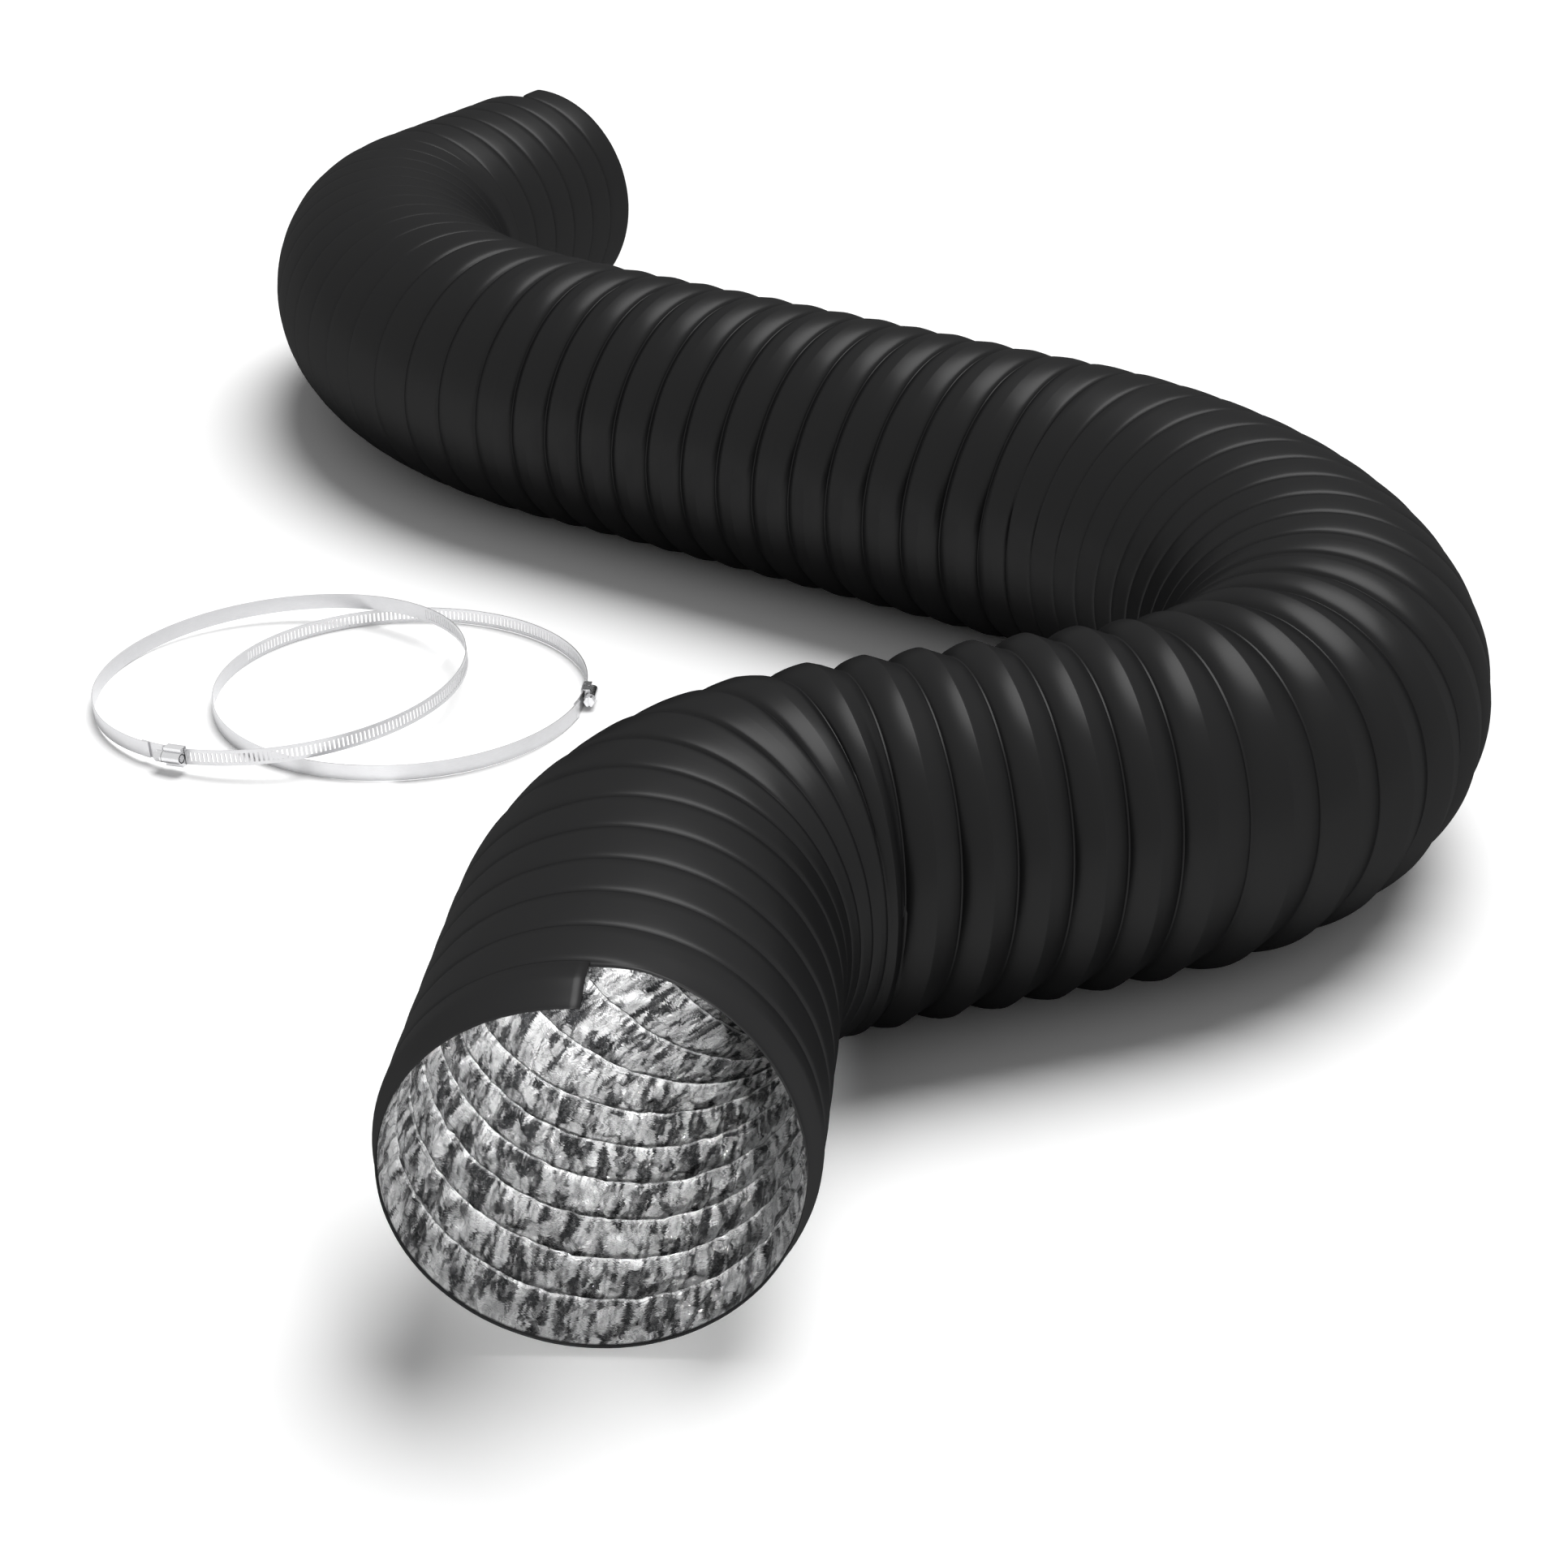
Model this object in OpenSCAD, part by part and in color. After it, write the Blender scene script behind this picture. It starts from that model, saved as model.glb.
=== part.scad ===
// Flexible air duct: a wire helix between a crumpled foil liner and a ribbed black jacket,
// laid in an S on the floor, with two loose worm-drive band clamps beside it.
// Millimetres, +Z up, the long run along X, the origin under the middle of everything.

/* [Duct] */
// Radius of the jacket over its ribs
jacket_r = 83; // [82.5:0.5:90]
// Wall of the jacket
jacket_wall = 1; // [0.8:0.1:1.2]
// Depth of a rib between its crest and the valley beside it
rib_depth = 4.5; // [3:0.1:4.6]
// Number of ribs from mouth to mouth
ribs = 70; // [60:1:80]
// How far the round bore of each mouth lies inside the ribs, so that it slips over a 150 mm spigot
bore_in = 7; // [6.6:0.1:8]
// Wall of the foil liner away from the mouths
liner_wall = 0.8; // [0.6:0.1:1.2]
// Diameter of the spring wire
wire_d = 1.2; // [1:0.1:1.4]

/* [Route] */
// Straight stretch behind the front mouth
front_straight = 160; // [160:5:200]
// Radius of the bend behind the front mouth
bend_a_r = 120; // [118:1:140]
// Straight stretch between the first two bends
short_straight = 140; // [120:5:180]
// Radius of the first part of the large turn
bend_b_r = 160; // [150:5:200]
// Radius of the second part of the large turn
bend_b_wide_r = 255; // [240:5:280]
// Straight stretch between the large turn and the rear bend
long_straight = 350; // [320:5:420]
// Radius of the first part of the rear bend
bend_c_wide_r = 330; // [310:5:350]
// Radius of the second part of the rear bend
bend_c_r = 125; // [120:1:140]
// Straight stretch in front of the rear mouth
rear_straight = 155; // [150:5:200]

/* [Clamps] */
// Radius of an open clamp to the inside of its band
clamp_r = 104; // [98:1:108]
// Width of the band
band_w = 9; // [8:0.5:12]
// Thickness of the band
band_t = 0.6; // [0.5:0.1:0.8]
// Distance from slot to slot, which is also the pitch of the worm
slot_pitch = 2.5; // [2.2:0.1:3.5]
// Part of a turn that is slotted, in degrees
slotted_arc = 160; // [120:5:165]
// Length of the screw housing along the band
housing_len = 11; // [10:0.5:16]
// Outer radius of the worm thread
worm_r = 2.5; // [2.4:0.1:3.2]
// Width across the flats of the screw head
hex_af = 5.5; // [5:0.5:7]

/* [Hidden] */

jacket_colour = "#262626";
foil_colour = "#c9cbce";
wire_colour = "#8f9296";
steel_colour = "#c4c6c8";

// Turns of the route, left turns positive
turn_a = -67;
turn_b = 67;
turn_b_wide = 61;
turn_c_wide = -57;
turn_c = -28;
// The long run points along -X, so the first heading follows from the turns before it
first_heading = 180 - turn_a - turn_b - turn_b_wide;

// One row of the route: [length, turn]
function arc_row(r, turn) = [r * abs(turn) * PI / 180, turn];
ROUTE = [[front_straight, 0], arc_row(bend_a_r, turn_a), [short_straight, 0], arc_row(bend_b_r, turn_b),
    arc_row(bend_b_wide_r, turn_b_wide), [long_straight, 0], arc_row(bend_c_wide_r, turn_c_wide),
    arc_row(bend_c_r, turn_c), [rear_straight, 0]];
function sum(list, n) = n <= 0 ? 0 : list[n - 1][0] + sum(list, n - 1);
route_len = sum(ROUTE, len(ROUTE));
pitch = route_len / ribs;

// Step of a route row from pose [x, y, heading] after the length d
function step(pose, row, d) = row[1] == 0
    ? [pose[0] + d * cos(pose[2]), pose[1] + d * sin(pose[2]), pose[2]]
    : let (r = row[0] * 180 / PI / row[1], h = pose[2] + row[1] * d / row[0])
        [pose[0] + r * (sin(h) - sin(pose[2])), pose[1] - r * (cos(h) - cos(pose[2])), h];
function pose_after(n) = n == 0
    ? [0, 0, first_heading]
    : step(pose_after(n - 1), ROUTE[n - 1], ROUTE[n - 1][0]);
STARTS = [for (n = [0:len(ROUTE)]) pose_after(n)];
ENDS = [for (n = [0:len(ROUTE)]) sum(ROUTE, n)];
function row_at(s, n = 0) = n == len(ROUTE) - 1 || s < ENDS[n + 1] ? n : row_at(s, n + 1);
function pose_at(s) = let (n = row_at(s)) step(STARTS[n], ROUTE[n], s - ENDS[n]);
// Centre of curvature of a bend
function bend_centre(n) = let (r = ROUTE[n][0] * 180 / PI / ROUTE[n][1], p = STARTS[n])
    [p[0] - r * sin(p[2]), p[1] + r * cos(p[2])];

// Ribs: one helix with two rows of points to a pitch, crests on the odd rows.
// Row i climbs back by one pitch in a full turn, so each mouth has a step of one pitch at the top.
sides = 12;
seam_gap = 0.15;
floor_cut = 0.5;
axis_z = jacket_r - floor_cut;
last_row = 2 * (ribs - 1);
top_angle = 90;
mouth_rows = 6;
fade_rows = 10;
mouth_depth_step = 0.08;
fade_depth = 0.7;
nest = 0.25;
wire_clear = 0.3;
// Room over the wire, since the flat sides of the jacket dip between its points
wire_room = 1;
valley_r = jacket_r - rib_depth;
bore_r = jacket_r - bore_in;
wire_path_r = jacket_r - jacket_wall - wire_room - wire_d / 2;
collar_liner_r = wire_path_r - wire_d / 2 - wire_clear;
core_liner_r = valley_r - jacket_wall - nest;

function angle_of(j) = top_angle + 360 * j / sides;
function station(i, j) = pitch * (i / 2 + 1 - j / sides);
// Depth of the valleys grows over the first ribs behind each mouth
function rows_in(i) = min(i, last_row - i);
function depth_share(i) = let (n = rows_in(i))
    n <= 1 ? 0 : n >= fade_rows ? 1 : n <= mouth_rows ? mouth_depth_step * n : fade_depth;
function jacket_out(i) = i % 2 == 0 ? jacket_r - rib_depth * depth_share(i) : jacket_r;
function liner_out(i) = rows_in(i) <= mouth_rows ? collar_liner_r : core_liner_r;

// Point of a tube at station s, angle a and radius r
function tube_point(s, a, r) = let (p = pose_at(s))
    [p[0] - r * cos(a) * sin(p[2]), p[1] + r * cos(a) * cos(p[2]), axis_z + r * sin(a)];

// Shift along the route and round the tube that keeps neighbouring stretches apart at a seam
seam_turn = seam_gap / jacket_r * 180 / PI;
function seam_shift(i, j, i0, i1) =
    i == i0 || (j == 0 && i == i0 - 2) ? seam_gap : i == i1 || (j == 0 && i == i1 - 2) ? -seam_gap : 0;
function seam_twist(i, j, i0, i1) =
    j > 0 ? 0 : i < i0 ? -seam_turn : i > i1 - 2 ? seam_turn : 0;

// Ribbed or plain sleeve between rows i0 and i1, every row_step rows, from two radius functions
module sleeve(i0, i1, row_step, outer, inner) {
    rows = [for (i = [i0 - 2:row_step:i1]) i];
    n_rows = len(rows);
    skip = 2 / row_step;
    function skin(radii) = [for (k = [0:n_rows - 1]) for (j = [0:sides - 1])
        let (i = rows[k])
            tube_point(station(i, j) + seam_shift(i, j, i0, i1), angle_of(j) + seam_twist(i, j, i0, i1),
                radii[k])];
    function at(k, j) = j == sides ? (k - skip) * sides : k * sides + j;
    shell = n_rows * sides;
    walls = [for (k = [skip:n_rows - 2]) for (j = [0:sides - 1])
        [at(k, j), at(k + 1, j), at(k + 1, j + 1), at(k, j + 1)]];
    function rim(k) = concat([for (j = [0:sides]) at(k, j)], [for (m = [1:skip - 1]) at(k - skip + m, 0)]);
    front = rim(skip);
    back = rim(n_rows - 1);
    function ring(loop) = [for (m = [0:len(loop) - 1]) [loop[m], loop[(m + 1) % len(loop)]]];
    function triangles(a, b, c, d) = [[a, b, c], [a, c, d]];
    faces = concat(
        [for (q = walls) each triangles(q[0], q[1], q[2], q[3])],
        [for (q = walls) each triangles(q[3] + shell, q[2] + shell, q[1] + shell, q[0] + shell)],
        [for (e = ring(front)) each triangles(e[0], e[1], e[1] + shell, e[0] + shell)],
        [for (e = ring(back)) each triangles(e[1], e[0], e[0] + shell, e[1] + shell)]);
    points = concat(skin([for (i = rows) outer(i)]), skin([for (i = rows) inner(i)]));
    polyhedron(points, faces, convexity = 8);
}

// Jacket between rows i0 and i1, cut flat where it stands on the floor
module jacket(i0, i1) {
    color(jacket_colour)
        difference() {
            sleeve(i0, i1, 1, function(i) jacket_out(i), function(i) jacket_out(i) - jacket_wall);
            translate([min(SPREAD_X), min(SPREAD_Y), -jacket_r])
                cube([max(SPREAD_X) - min(SPREAD_X), max(SPREAD_Y) - min(SPREAD_Y), jacket_r]);
        }
}

// Liner between rows i0 and i1, nested in the valleys of the jacket
module liner(i0, i1) {
    sleeve(i0, i1, 2, function(i) liner_out(i), function(i) core_liner_r - liner_wall);
}

// Round bore of a mouth: a straight cylinder along the axis from station s, over a length
module mouth_bore(s, length) {
    p = pose_at(s);
    translate([p[0], p[1], axis_z])
        rotate([0, 90, p[2]])
            cylinder(h = length, r = bore_r, $fn = 96);
}

// Spring wire under the crests between rows i0 and i1
wire_sides = 3;
wire_corner = 60;
wire_end = 0.02;
module wire(i0, i1) {
    turns = (i1 - i0) / 2;
    places = [for (q = [0:turns * sides]) q == 0 ? wire_end : q == turns * sides ? q - wire_end : q];
    points = [for (q = places) let (s = pitch * ((i0 + 1) / 2 + q / sides), a = top_angle - 360 * q / sides)
        for (m = [0:wire_sides - 1]) let (b = wire_corner + 360 * m / wire_sides)
            tube_point(s + wire_d / 2 * sin(b), a, wire_path_r + wire_d / 2 * cos(b))];
    n = len(places);
    sides_of = [for (k = [0:n - 2]) for (m = [0:wire_sides - 1])
        let (a = k * wire_sides + m, b = k * wire_sides + (m + 1) % wire_sides) each
            [[a, b, b + wire_sides], [a, b + wire_sides, a + wire_sides]]];
    caps = [[for (m = [wire_sides - 1:-1:0]) m], [for (m = [0:wire_sides - 1]) (n - 1) * wire_sides + m]];
    color(wire_colour)
        polyhedron(points, concat(sides_of, caps), convexity = 8);
}

// Least gap between a turn of the wire and the next, from points on its centre line
WIRE_LINE = [for (q = [0:last_row / 2 * sides])
    tube_point(pitch * (0.5 + q / sides), top_angle - 360 * q / sides, wire_path_r)];
wire_least_gap = min([for (q = [0:len(WIRE_LINE) - 1 - 2 * sides]) for (d = [sides - 2:sides + 2])
    norm(WIRE_LINE[q + d] - WIRE_LINE[q])]) - wire_d;

// Rows at which the stretches meet, each an even row near the end of its route row
function row_near(n) = 2 * round(ENDS[n] / pitch - 0.5);
SEAMS = [0, row_near(1), row_near(2), row_near(3), row_near(5), row_near(6), row_near(8), last_row];
collar_len = pitch * mouth_rows / 2;

// Middle of the whole on the floor
CENTRES = [for (s = [0:pitch / 2:route_len]) pose_at(s)];
SPREAD_X = [for (p = CENTRES) each [p[0] + jacket_r * sin(p[2]), p[0] - jacket_r * sin(p[2])]];
SPREAD_Y = [for (p = CENTRES) each [p[1] + jacket_r * cos(p[2]), p[1] - jacket_r * cos(p[2])]];

// Clamps: places beside the duct, measured from the start of the route
clamp_2_at = [-450, 411];
clamp_1_from_2 = [-58, -34];
clamp_1_turn = -79;
clamp_2_turn = 30;
clear = 0.2;
lap = band_t + clear;
// Parts of the slot pitch and of the band's width that a slot takes
slot_open = 0.4;
slot_reach = 0.6;
// Ends of the band inside the housing: the slotted end over the plain end, which lies one lap deeper
tail_r = clamp_r - lap;
slotted_end = asin((housing_len / 2 - 2) / clamp_r);
plain_end = asin((housing_len / 2 - 1) / clamp_r);
// Fold beside the screw head where the band steps in to its plain end
fold_from = -13;
fold_to = -10;
fold_lap = 0.5;
fold_proud = 0.1;
saddle_wall = 0.6;
// Depth to which the curve of the band falls away under half the housing
sag = tail_r - sqrt(tail_r * tail_r - housing_len * housing_len / 4);
strap_y = -sag - clear;
housing_wall = 0.6;
housing_w = band_w + 2 * (saddle_wall + clear);
worm_y = band_t + lap + clear + worm_r;
barrel_r = worm_r + clear + housing_wall;
head_len = 4;
driver_slot_w = 1;
driver_slot_depth = 1.2;
flange_t = 1;
flange_r = barrel_r;
screw_gap = 0.3;
thread_depth = 0.5;
// A clamp lies on the skirt of its housing and on the far side of its band
tab_drop = saddle_wall + clear;
tab_inset = 2;
lie_tilt = asin(tab_drop / (2 * clamp_r - tab_inset));
// The first clamp leans on the second one, over the two places where they cross
apart = norm(clamp_1_from_2);
lean_way = atan2(-clamp_1_from_2[1], -clamp_1_from_2[0]);
cross_way = lean_way + 180 - acos(apart / 2 / clamp_r);
cross_rise = (1 + cos(cross_way - clamp_2_turn)) * tab_drop / 2;
lean = atan((band_w + cross_rise + screw_gap) / (clamp_r + apart / 2));

min_x = min(concat(SPREAD_X, [clamp_2_at[0] + clamp_1_from_2[0] - clamp_r - band_t]));
max_x = max(SPREAD_X);
min_y = min(SPREAD_Y);
max_y = max(SPREAD_Y);
shift = [-(min_x + max_x) / 2, -(min_y + max_y) / 2, 0];

// Arc of flat band between two angles, grown on all four sides of its section
module band_arc(r, thick, from, to, grown = 0) {
    rotate([0, 0, from])
        rotate_extrude(angle = to - from, $fn = 180)
            translate([r - grown, -grown])
                square([thick + 2 * grown, band_w + 2 * grown]);
}

// Band of a clamp in its own frame: housing on the +X side, slotted from there to the left
module band() {
    slots = floor(slotted_arc / 180 * PI * clamp_r / slot_pitch);
    slot_step = slotted_arc / slots;
    difference() {
        union() {
            band_arc(clamp_r, band_t, -slotted_end, 360 + fold_to - fold_lap);
            band_arc(tail_r, lap + band_t, fold_from, fold_to, fold_proud);
            band_arc(tail_r, band_t, fold_from + fold_lap, plain_end);
        }
        translate([0, 0, band_w / 2])
            for (k = [0:slots - 1])
                rotate([0, 0, k * slot_step - slotted_end + slot_step])
                    translate([clamp_r + band_t / 2, 0, 0])
                        cube([band_t + clear, slot_pitch * slot_open, band_w * slot_reach], center = true);
    }
}

// Screw housing: a barrel round the worm on two skirts that reach down past the band's edges
module housing() {
    translate([tail_r, housing_len / 2, band_w / 2])
        rotate([90, 0, 0])
            linear_extrude(housing_len)
                difference() {
                    union() {
                        translate([worm_y, 0])
                            circle(r = barrel_r, $fn = 64);
                        translate([strap_y + clear / 2, -housing_w / 2])
                            square([worm_y - strap_y - clear / 2, housing_w]);
                    }
                    translate([worm_y, 0])
                        circle(r = worm_r + clear, $fn = 64);
                    translate([2 * strap_y, -band_w / 2 - clear])
                        square([band_t + lap + clear - 2 * strap_y, band_w + 2 * clear]);
                }
}

// Saddle: the strap inside the band ends, which the skirts of the housing stand on
module saddle() {
    translate([tail_r + strap_y - saddle_wall, -housing_len / 2, band_w / 2 - housing_w / 2])
        cube([saddle_wall, housing_len, housing_w]);
}

// Screw: worm with its thread ridges, a flange and a hexagonal slotted head
module screw() {
    ridges = floor((housing_len - 2) / slot_pitch);
    translate([tail_r + worm_y, 0, band_w / 2])
        rotate([90, 0, 0])
            difference() {
                union() {
                    cylinder(h = housing_len, r = worm_r - thread_depth, center = true, $fn = 48);
                    for (k = [0:ridges - 1])
                        translate([0, 0, (k - (ridges - 1) / 2) * slot_pitch])
                            cylinder(h = slot_pitch / 3, r = worm_r - clear / 2, center = true, $fn = 48);
                    translate([0, 0, housing_len / 2 + screw_gap])
                        cylinder(h = flange_t, r = flange_r, $fn = 48);
                    translate([0, 0, housing_len / 2 - screw_gap])
                        cylinder(h = 2 * screw_gap + flange_t / 2, r = worm_r - thread_depth, $fn = 48);
                    translate([0, 0, housing_len / 2 + screw_gap])
                        cylinder(h = flange_t + head_len, r = hex_af / sqrt(3), $fn = 6);
                }
                translate([0, 0, housing_len / 2 + screw_gap + flange_t + head_len])
                    cube([driver_slot_w, 3 * hex_af, 2 * driver_slot_depth], center = true);
            }
}

// Frames of the two clamps
module at_clamp_2() {
    translate([shift[0] + clamp_2_at[0], shift[1] + clamp_2_at[1], 0])
        rotate([0, 0, clamp_2_turn])
            translate([-clamp_r - band_t, 0, 0])
                rotate([0, -lie_tilt, 0])
                    translate([clamp_r + band_t, 0, 0])
                        children();
}

module at_clamp_1() {
    at = clamp_2_at + clamp_1_from_2;
    translate([shift[0] + at[0], shift[1] + at[1], 0])
        rotate([0, 0, lean_way])
            translate([-clamp_r - band_t, 0, 0])
                rotate([0, -lean, 0])
                    translate([clamp_r + band_t, 0, 0])
                        rotate([0, 0, clamp_1_turn - lean_way])
                            children();
}

module stretch_jacket(n) {
    translate(shift)
        jacket(SEAMS[n], SEAMS[n + 1]);
}

module stretch_liner(n) {
    color(foil_colour)
        translate(shift)
            difference() {
                liner(SEAMS[n], SEAMS[n + 1]);
                if (n == 0)
                    mouth_bore(-1, collar_len + 1);
                if (n == len(SEAMS) - 2)
                    mouth_bore(route_len - collar_len, collar_len + 1);
            }
}

module stretch_wire(n) {
    translate(shift)
        wire(SEAMS[n], SEAMS[n + 1]);
}

module front_jacket() stretch_jacket(0);
module front_liner() stretch_liner(0);
module front_wire() stretch_wire(0);
module bend_a_jacket() stretch_jacket(1);
module bend_a_liner() stretch_liner(1);
module bend_a_wire() stretch_wire(1);
module short_run_jacket() stretch_jacket(2);
module short_run_liner() stretch_liner(2);
module short_run_wire() stretch_wire(2);
module bend_b_jacket() stretch_jacket(3);
module bend_b_liner() stretch_liner(3);
module bend_b_wire() stretch_wire(3);
module long_run_jacket() stretch_jacket(4);
module long_run_liner() stretch_liner(4);
module long_run_wire() stretch_wire(4);
module bend_c_jacket() stretch_jacket(5);
module bend_c_liner() stretch_liner(5);
module bend_c_wire() stretch_wire(5);
module rear_jacket() stretch_jacket(6);
module rear_liner() stretch_liner(6);
module rear_wire() stretch_wire(6);

module clamp_1_band() color(steel_colour) at_clamp_1() band();
module clamp_1_housing() color(steel_colour) at_clamp_1() housing();
module clamp_1_saddle() color(steel_colour) at_clamp_1() saddle();
module clamp_1_screw() color(steel_colour) at_clamp_1() screw();
module clamp_2_band() color(steel_colour) at_clamp_2() band();
module clamp_2_housing() color(steel_colour) at_clamp_2() housing();
module clamp_2_saddle() color(steel_colour) at_clamp_2() saddle();
module clamp_2_screw() color(steel_colour) at_clamp_2() screw();

echo(route_len = route_len, pitch = pitch, seams = SEAMS, shift = shift);
echo(starts = STARTS, hinges = [for (n = [1, 3, 6]) bend_centre(n) + [shift[0], shift[1]]]);
echo(wire_least_gap = wire_least_gap, collar_len = collar_len, lean = lean, lie_tilt = lie_tilt);

front_jacket();
front_liner();
front_wire();
bend_a_jacket();
bend_a_liner();
bend_a_wire();
short_run_jacket();
short_run_liner();
short_run_wire();
bend_b_jacket();
bend_b_liner();
bend_b_wire();
long_run_jacket();
long_run_liner();
long_run_wire();
bend_c_jacket();
bend_c_liner();
bend_c_wire();
rear_jacket();
rear_liner();
rear_wire();
clamp_1_band();
clamp_1_housing();
clamp_1_saddle();
clamp_1_screw();
clamp_2_band();
clamp_2_housing();
clamp_2_saddle();
clamp_2_screw();
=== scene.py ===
"""Flexible air duct laid in an S, with two loose worm-drive band clamps beside it.

The duct is a black ribbed film wound as one helix of lapped strip, a spring wire under its
ribs and a crumpled foil liner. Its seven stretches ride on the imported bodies, and the bends
blend across their joints. The clamps are rolled steel bands with pressed housings and screws.
"""

from __future__ import annotations

import logging
import math
from dataclasses import dataclass, field
from enum import Enum
from typing import Callable, Iterable

import bmesh
import bpy
from mathutils import Matrix, Vector, noise
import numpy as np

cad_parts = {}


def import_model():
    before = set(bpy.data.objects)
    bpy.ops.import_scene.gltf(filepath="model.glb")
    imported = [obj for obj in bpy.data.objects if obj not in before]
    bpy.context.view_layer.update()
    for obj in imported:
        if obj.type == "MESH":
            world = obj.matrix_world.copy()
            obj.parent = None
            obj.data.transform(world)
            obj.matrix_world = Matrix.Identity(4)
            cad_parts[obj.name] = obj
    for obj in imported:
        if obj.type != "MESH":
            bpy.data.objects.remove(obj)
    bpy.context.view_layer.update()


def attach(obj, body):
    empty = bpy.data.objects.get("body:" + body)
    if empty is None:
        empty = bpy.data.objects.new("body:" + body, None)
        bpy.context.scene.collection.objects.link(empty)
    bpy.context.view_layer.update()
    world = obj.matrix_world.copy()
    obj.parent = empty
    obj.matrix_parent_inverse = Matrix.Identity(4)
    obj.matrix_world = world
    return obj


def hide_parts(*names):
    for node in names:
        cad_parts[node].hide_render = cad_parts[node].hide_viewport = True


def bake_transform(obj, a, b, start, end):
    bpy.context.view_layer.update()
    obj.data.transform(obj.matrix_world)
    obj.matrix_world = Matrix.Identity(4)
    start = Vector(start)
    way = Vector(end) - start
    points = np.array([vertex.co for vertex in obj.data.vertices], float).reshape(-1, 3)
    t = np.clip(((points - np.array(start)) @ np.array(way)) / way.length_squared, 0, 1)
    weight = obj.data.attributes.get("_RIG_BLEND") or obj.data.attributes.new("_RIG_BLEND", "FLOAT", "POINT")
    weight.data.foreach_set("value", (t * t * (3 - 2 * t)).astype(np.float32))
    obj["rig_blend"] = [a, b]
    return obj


LOG = logging.getLogger("duct")
MM = 0.001


# ---------------------------------------------------------------- shader maths


class Sock:
    """A shader output that can be added, scaled and compared like a number."""

    def __init__(self, shader: "Shader", socket: bpy.types.NodeSocket) -> None:
        """Wrap a socket.

        Args:
            shader: the shader that owns the socket's node.
            socket: the output to wrap.
        """
        self.shader = shader
        self.socket = socket

    def _math(self, operation: str, *others: "Sock | float", clamp: bool = False) -> "Sock":
        """Join this value to others through a Math node.

        Args:
            operation: the Math node's operation.
            others: the other operands.
            clamp: whether the result is held between 0 and 1.

        Returns:
            The result.
        """
        inputs = dict(enumerate((self, *others)))
        return self.shader.node("ShaderNodeMath", inputs, operation=operation, use_clamp=clamp)

    def __add__(self, other: "Sock | float") -> "Sock":
        """Sum."""
        return self._math("ADD", other)

    def __radd__(self, other: float) -> "Sock":
        """Sum with a plain number on the left."""
        return self + other

    def __sub__(self, other: "Sock | float") -> "Sock":
        """Difference."""
        return self._math("SUBTRACT", other)

    def __rsub__(self, other: float) -> "Sock":
        """A plain number less this value."""
        return self.shader.node("ShaderNodeMath", {0: other, 1: self}, operation="SUBTRACT")

    def __mul__(self, other: "Sock | float") -> "Sock":
        """Product."""
        return self._math("MULTIPLY", other)

    def __rmul__(self, other: float) -> "Sock":
        """Product with a plain number on the left."""
        return self * other

    def absolute(self) -> "Sock":
        """Value without its sign."""
        return self._math("ABSOLUTE")

    def clamped(self) -> "Sock":
        """Value held between 0 and 1."""
        return self._math("ADD", 0.0, clamp=True)

    def ramp(self, low: float, high: float, out_low: float = 0.0, out_high: float = 1.0) -> "Sock":
        """Map a range smoothly onto another.

        Args:
            low: value that gives out_low.
            high: value that gives out_high.
            out_low: lower result.
            out_high: upper result.

        Returns:
            The mapped value, held between the two results.
        """
        values = {0: self, 1: low, 2: high, 3: out_low, 4: out_high}
        return self.shader.node("ShaderNodeMapRange", values, interpolation_type="SMOOTHSTEP")


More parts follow.
